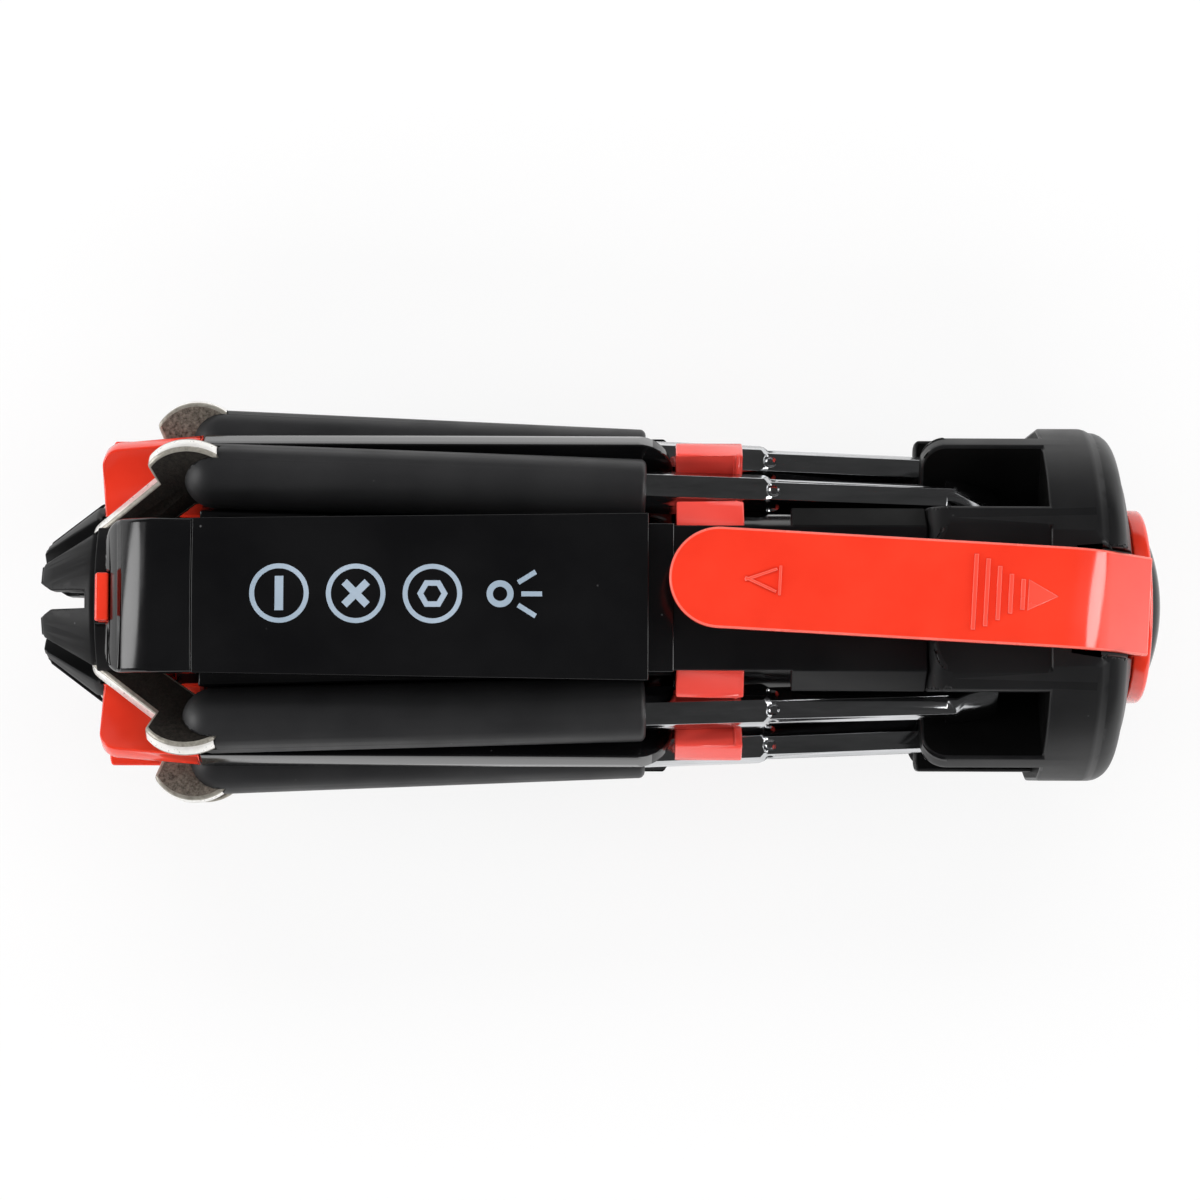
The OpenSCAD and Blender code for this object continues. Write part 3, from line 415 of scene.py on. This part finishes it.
def head_share(a, b):
    """Keeps the edges round the lens bezel almost sharp, because their faces are narrow."""
    small = all(p.x > HEAD_RIM_X and from_axis(p).length < HEAD_RIM_R for p in (a, b))
    return HEAD_SHARE if small else 1.0


def rim_finish(i):
    """Tells the outer rim of driver i's tang, whose normals lie in the driver's own plane and which
    gets a painted highlight, and gives the faces of the front and back tangs painted shade.
    """
    a = math.radians(DRIVER_A[i - 1])
    across = Vector((0, math.cos(a), -math.sin(a)))
    face = TANG_SHADED if i in FRONT_AND_BACK else 0
    return lambda middle, normal: TANG_RIM_AND_HIGHLIGHT if abs(normal.dot(across)) < IN_PLANE else face


def cap_share(a, b):
    """Keeps the edges of an end cap at its seam almost sharp."""
    return CAP_SHARE if min(a.x, b.x) > SEAM_X - EDGE_TOL else 1.0


def first_finish(middle, normal):
    """Gives all faces the first of the extra finishes."""
    return 1


rounded("front_panel", 0.12)
rounded("battery_door", 0.12)
rounded("front_end_cap", 0.5, 3, share_of=cap_share)
rounded("rear_end_cap", 0.5, 3, share_of=cap_share)
rounded("front_shell", 0.2, 2, (black, matte, polished, shade_black), finish_at=strip_finish)
rounded("rear_shell", 0.2, 2, (black, matte, polished, shade_black), finish_at=strip_finish)
rounded("nose_cone", 0.18, 2, (nose_black,), finish_at=first_finish)
rounded("pivot_hub", 0.25, 3)
rounded("head_crown", 0.35, 3, (satin, shade_black, nose_black), share_of=head_share,
        finish_at=head_finish)
rounded("slider_ring", 0.2, 2, (painted_light_ring_red,), finish_at=first_finish)
rounded("lens_bezel", 0.2)
rounded("pocket_clip", 0.45, 3, (raised, mark_top_highlight), share_of=clip_share, finish_at=clip_finish)
for i in range(1, 9):
    rounded(f"tang_{i}", 0.4, 2, (ground, rim, shaded_steel), finish_at=rim_finish(i))
    rounded(f"grip_{i}", 0.2)
    rounded(f"shaft_{i}", 0.06, 1)

# Print on the front panel: pictograms of a slotted head, a cross head, a hexagon and a lamp

CROWN_R = 60.0
CROWN_TOP = box_of("front_panel")[1].z
PRINT_RISE = 0.03
BAR_STEPS = 8


def crown_z(y):
    """Returns the height of the crowned panel at y, both in mm."""
    return CROWN_TOP - CROWN_R + math.sqrt(CROWN_R * CROWN_R - y * y)


class Print:
    """Thin raised strips that follow the crown of the panel, gathered into one mesh."""

    def __init__(self):
        self.bm = bmesh.new()

    def strip(self, left, right, closed=False):
        """Lays a strip between two rows of points, given in mm on the panel."""
        rows = []
        for (x1, y1), (x2, y2) in zip(left, right):
            rows.append([self.bm.verts.new((x * MM, y * MM, (crown_z(y) + rise) * MM))
                         for x, y, rise in ((x1, y1, PRINT_RISE), (x2, y2, PRINT_RISE),
                                            (x2, y2, -PRINT_RISE), (x1, y1, -PRINT_RISE))])
        pairs = list(zip(rows, rows[1:]))
        if closed:
            pairs.append((rows[-1], rows[0]))
        else:
            self.bm.faces.new(rows[0])
            self.bm.faces.new(rows[-1])
        for a, b in pairs:
            for k in range(4):
                n = (k + 1) % 4
                self.bm.faces.new((a[k], a[n], b[n], b[k]))

    def ring(self, x, y, r_in, r_out, sides):
        """Lays a ring round x, y, with its first corner towards +X."""
        a = [2 * math.pi * k / sides for k in range(sides)]
        self.strip([(x + r_in * math.cos(t), y + r_in * math.sin(t)) for t in a],
                   [(x + r_out * math.cos(t), y + r_out * math.sin(t)) for t in a], True)

    def bar(self, x, y, length, width, turn):
        """Lays a straight bar with its middle at x, y and its length along the angle turn."""
        c, s = math.cos(turn), math.sin(turn)
        along = [length * (k / BAR_STEPS - 0.5) for k in range(BAR_STEPS + 1)]
        h = width / 2
        self.strip([(x + u * c - h * s, y + u * s + h * c) for u in along],
                   [(x + u * c + h * s, y + u * s - h * c) for u in along])


ICON_R = 3.3
ICON_LINE = 0.55
SLOT_SIZE = (3.8, 0.95)
CROSS_SIZE = (3.6, 0.85)
HEXAGON_R = (1.0, 1.7)
LAMP_R = (0.8, 1.5)
RAY_A = 32
RAY_FROM_LAMP = 3.5
RAY_L = 2.3
ICON_SIDES, LAMP_SIDES = 48, 32
PRINT_Y = 0.2
SLOT_X, CROSS_X, HEXAGON_X, LAMP_X = -36.0, -27.5, -19.0, -11.5

marks = Print()
for x in (SLOT_X, CROSS_X, HEXAGON_X):
    marks.ring(x, PRINT_Y, ICON_R - ICON_LINE, ICON_R, ICON_SIDES)
marks.bar(SLOT_X, PRINT_Y, *SLOT_SIZE, math.radians(90))
marks.bar(CROSS_X, PRINT_Y, *CROSS_SIZE, math.radians(45))
marks.bar(CROSS_X, PRINT_Y, *CROSS_SIZE, math.radians(135))
marks.ring(HEXAGON_X, PRINT_Y, *HEXAGON_R, 6)
marks.ring(LAMP_X, PRINT_Y, *LAMP_R, LAMP_SIDES)
for k in range(-1, 2):
    ray = math.radians(RAY_A * k)
    ray_x = LAMP_X + RAY_FROM_LAMP * math.cos(ray)
    ray_y = PRINT_Y + RAY_FROM_LAMP * math.sin(ray)
    marks.bar(ray_x, ray_y, RAY_L, ICON_LINE, ray)
bmesh.ops.recalc_face_normals(marks.bm, faces=marks.bm.faces)
print_mesh = bpy.data.meshes.new("panel_print")
marks.bm.to_mesh(print_mesh)
marks.bm.free()
print_mesh.materials.append(ink)
panel_print = bpy.data.objects.new("panel_print", print_mesh)
bpy.context.scene.collection.objects.link(panel_print)
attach(panel_print, "body")

# Camera, straight above the tool with a slight lean towards -Y

SENSOR_WIDTH = 36
LENS_LENGTH = 102.7
CLIP_NEAR, CLIP_FAR = 0.01, 10
LEAN = math.radians(2.9)
ROLL = math.radians(0.2)
TARGET_X, TARGET_Y = -0.43, 0.6
DISTANCE = 400

cam_data = bpy.data.cameras.new("camera")
cam_data.sensor_width = SENSOR_WIDTH
cam_data.lens = LENS_LENGTH
cam = bpy.data.objects.new("camera", cam_data)
bpy.context.scene.collection.objects.link(cam)
bpy.context.scene.camera = cam
target = Vector((TARGET_X, TARGET_Y, AXIS_Z)) * MM
cam.location = target + Vector((0, -math.sin(LEAN), math.cos(LEAN))) * DISTANCE * MM
cam.rotation_mode = "QUATERNION"
level = (target - cam.location).to_track_quat("-Z", "Y")
turn = Matrix.Rotation(ROLL, 4, "Z").to_quaternion()
cam.rotation_quaternion = level @ turn
cam_data.clip_start = CLIP_NEAR
cam_data.clip_end = CLIP_FAR

# Floor, which glows for the camera and in reflections and still takes the tool's shadow

FLOOR_HALF = 3
FLOOR_WHITE = 0.93
FLOOR_ROUGH = 0.9
FLOOR_GLOSS = 0.1
FLOOR_GLOW = 0.8
corners = [(x * FLOOR_HALF, y * FLOOR_HALF, 0) for x, y in ((-1, -1), (1, -1), (1, 1), (-1, 1))]
floor_mesh = bpy.data.meshes.new("floor")
floor_mesh.from_pydata(corners, [], [(0, 1, 2, 3)])
floor = bpy.data.objects.new("floor", floor_mesh)
bpy.context.scene.collection.objects.link(floor)
m, tree, shader = new_material("floor")
shader.inputs["Base Color"].default_value = (FLOOR_WHITE, FLOOR_WHITE, FLOOR_WHITE, 1)
shader.inputs["Roughness"].default_value = FLOOR_ROUGH
shader.inputs["Specular IOR Level"].default_value = FLOOR_GLOSS
glow = tree.nodes.new("ShaderNodeEmission")
glow.inputs["Color"].default_value = (1, 1, 1, 1)
path = tree.nodes.new("ShaderNodeLightPath")
seen = math_node(tree, "MAXIMUM", path.outputs["Is Camera Ray"], path.outputs["Is Glossy Ray"])
seen = math_node(tree, "MAXIMUM", seen, path.outputs["Is Transmission Ray"])
share = math_node(tree, "MULTIPLY", seen, FLOOR_GLOW)
mix = tree.nodes.new("ShaderNodeMixShader")
link(tree, share, mix.inputs["Fac"])
link(tree, shader.outputs["BSDF"], mix.inputs[1])
link(tree, glow.outputs["Emission"], mix.inputs[2])
link(tree, mix.outputs["Shader"], tree.nodes["Material Output"].inputs["Surface"])
floor_mesh.materials.append(m)

# World, dark with an oval light low towards both ends of the tool

world = bpy.data.worlds.new("world")
bpy.context.scene.world = world
world.use_nodes = True
sky = world.node_tree
sky_side = sky.nodes.new("ShaderNodeTexCoord")
sky_parts = sky.nodes.new("ShaderNodeSeparateXYZ")
link(sky, sky_side.outputs["Generated"], sky_parts.inputs["Vector"])
SKY_DARK, LIGHT_GLOW = 0.05, 6.0
LIGHT_Z, LIGHT_HALF_Z, LIGHT_HALF_Y = 0.26, 0.22, 0.32
LIGHT_INSIDE, LIGHT_OUTSIDE = 0.8, 1.1
above = math_node(sky, "SUBTRACT", sky_parts.outputs["Z"], LIGHT_Z)
up = math_node(sky, "DIVIDE", above, LIGHT_HALF_Z)
aside = math_node(sky, "DIVIDE", sky_parts.outputs["Y"], LIGHT_HALF_Y)
up_part = math_node(sky, "MULTIPLY", up, up)
aside_part = math_node(sky, "MULTIPLY", aside, aside)
away = math_node(sky, "ADD", up_part, aside_part)
oval = remap(sky, away, 1.0, 0.0, LIGHT_INSIDE, LIGHT_OUTSIDE)
light_glow = math_node(sky, "MULTIPLY", oval, LIGHT_GLOW)
link(sky, math_node(sky, "ADD", light_glow, SKY_DARK), sky.nodes["Background"].inputs["Strength"])
sky.nodes["Background"].inputs["Color"].default_value = (1, 1, 1, 1)

# Lamps

LAMP_DISTANCE = 0.8
SIDE_RISE, SIDE_SIZE = 42, (0.9, 0.35)
END_RISE, END_SIZE = 38, (0.5, 0.3)


def softbox(name, azimuth, elevation, wide, high, watts):
    """Area lamp that faces the tool from an azimuth, with 0 at +X and 90 at +Y."""
    data = bpy.data.lights.new(name, "AREA")
    data.shape = "RECTANGLE"
    data.size, data.size_y = wide, high
    data.energy = watts
    lamp = bpy.data.objects.new(name, data)
    a, e = math.radians(azimuth), math.radians(elevation)
    aim = Vector((math.cos(a) * math.cos(e), math.sin(a) * math.cos(e), math.sin(e)))
    lamp.location = aim * LAMP_DISTANCE
    lamp.location.z += AXIS_Z * MM
    lamp.rotation_mode = "QUATERNION"
    lamp.rotation_quaternion = (-lamp.location).to_track_quat("-Z", "Y")
    lamp.visible_glossy = False
    bpy.context.scene.collection.objects.link(lamp)


softbox("lamp_back", 90, SIDE_RISE, *SIDE_SIZE, 4.2)
softbox("lamp_front", -90, SIDE_RISE, *SIDE_SIZE, 3.7)
softbox("lamp_head", 0, END_RISE, *END_SIZE, 1.2)
softbox("lamp_nose", 180, END_RISE, *END_SIZE, 1.2)
bpy.context.scene.view_settings.view_transform = "Standard"

bpy.context.view_layer.update()
